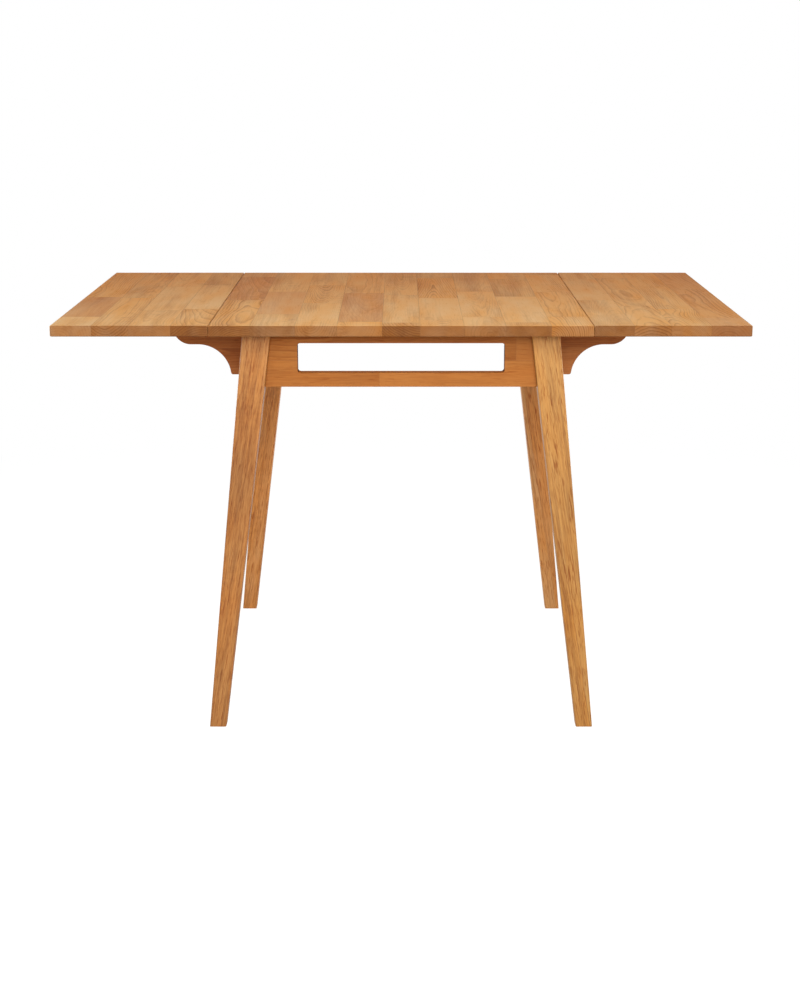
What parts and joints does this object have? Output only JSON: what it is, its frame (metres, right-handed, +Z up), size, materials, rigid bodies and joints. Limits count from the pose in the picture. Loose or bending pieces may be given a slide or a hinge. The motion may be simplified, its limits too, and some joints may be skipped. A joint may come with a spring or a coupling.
{
  "type": "drop-leaf dining table",
  "caption": "Drop-leaf dining table of solid wood with splayed tapered legs, slotted aprons and ogee wings that swing out under the leaves.",
  "frame": {"origin": "on the floor under the middle of the top", "axes": "+X along the length, +Y to the back, +Z up"},
  "size_m": [1.22, 0.76, 0.742],
  "materials": {
    "top_wood": "satin lacquer",
    "frame_wood": "satin lacquer",
    "steel": "zinc plated"
  },
  "bodies": {
    "frame": {"apron_back": "frame_wood", "apron_front": "frame_wood", "bolt_nuts": "steel", "bolt_washers": "steel", "centre_top": "top_wood", "cleat_back": "frame_wood", "cleat_front": "frame_wood", "cleat_left": "frame_wood", "cleat_right": "frame_wood", "corner_block_back_left": "frame_wood", "corner_block_back_right": "frame_wood", "corner_block_front_left": "frame_wood", "corner_block_front_right": "frame_wood", "corner_block_screws": "steel", "end_apron_left": "frame_wood", "end_apron_right": "frame_wood", "hanger_bolts": "steel", "leaf_hinge_centre_plates": "steel", "leaf_hinge_centre_screws": "steel", "leaf_hinge_pins": "steel", "leg_back_left": "frame_wood", "leg_back_right": "frame_wood", "leg_front_left": "frame_wood", "leg_front_right": "frame_wood", "top_screws": "steel", "wing_hinge_apron_screws": "steel", "wing_hinge_fixed_plates": "steel", "wing_hinge_pins": "steel"},
    "leaf_left": {"leaf_hinge_plates_left": "steel", "leaf_hinge_screws_left": "steel", "leaf_left": "top_wood"},
    "leaf_right": {"leaf_hinge_plates_right": "steel", "leaf_hinge_screws_right": "steel", "leaf_right": "top_wood"},
    "wing_front_left": {"wing_front_left": "frame_wood", "wing_hinge_plate_front_left": "steel", "wing_hinge_screws_front_left": "steel"},
    "wing_front_right": {"wing_front_right": "frame_wood", "wing_hinge_plate_front_right": "steel", "wing_hinge_screws_front_right": "steel"},
    "wing_back_left": {"wing_back_left": "frame_wood", "wing_hinge_plate_back_left": "steel", "wing_hinge_screws_back_left": "steel"},
    "wing_back_right": {"wing_back_right": "frame_wood", "wing_hinge_plate_back_right": "steel", "wing_hinge_screws_back_right": "steel"}
  },
  "joints": [
    {"name": "leaf_left_hinge", "type": "hinge", "parent": "frame", "child": "leaf_left", "pos_m": [-0.3354, 0, 0.7196], "axis": [0, 1, 0], "range_deg": [0, 2.5]},
    {"name": "leaf_right_hinge", "type": "hinge", "parent": "frame", "child": "leaf_right", "pos_m": [0.3354, 0, 0.7196], "axis": [0, -1, 0], "range_deg": [0, 2.5]},
    {"name": "wing_front_left_hinge", "type": "hinge", "parent": "frame", "child": "wing_front_left", "pos_m": [-0.2704, -0.1916, 0.67505], "axis": [0, 0, -1], "range_deg": [0, 90]},
    {"name": "wing_front_right_hinge", "type": "hinge", "parent": "frame", "child": "wing_front_right", "pos_m": [0.2704, -0.1916, 0.67505], "axis": [0, 0, 1], "range_deg": [0, 90]},
    {"name": "wing_back_left_hinge", "type": "hinge", "parent": "frame", "child": "wing_back_left", "pos_m": [-0.2704, 0.1916, 0.67505], "axis": [0, 0, 1], "range_deg": [0, 90]},
    {"name": "wing_back_right_hinge", "type": "hinge", "parent": "frame", "child": "wing_back_right", "pos_m": [0.2704, 0.1916, 0.67505], "axis": [0, 0, -1], "range_deg": [0, 90]}
  ]
}
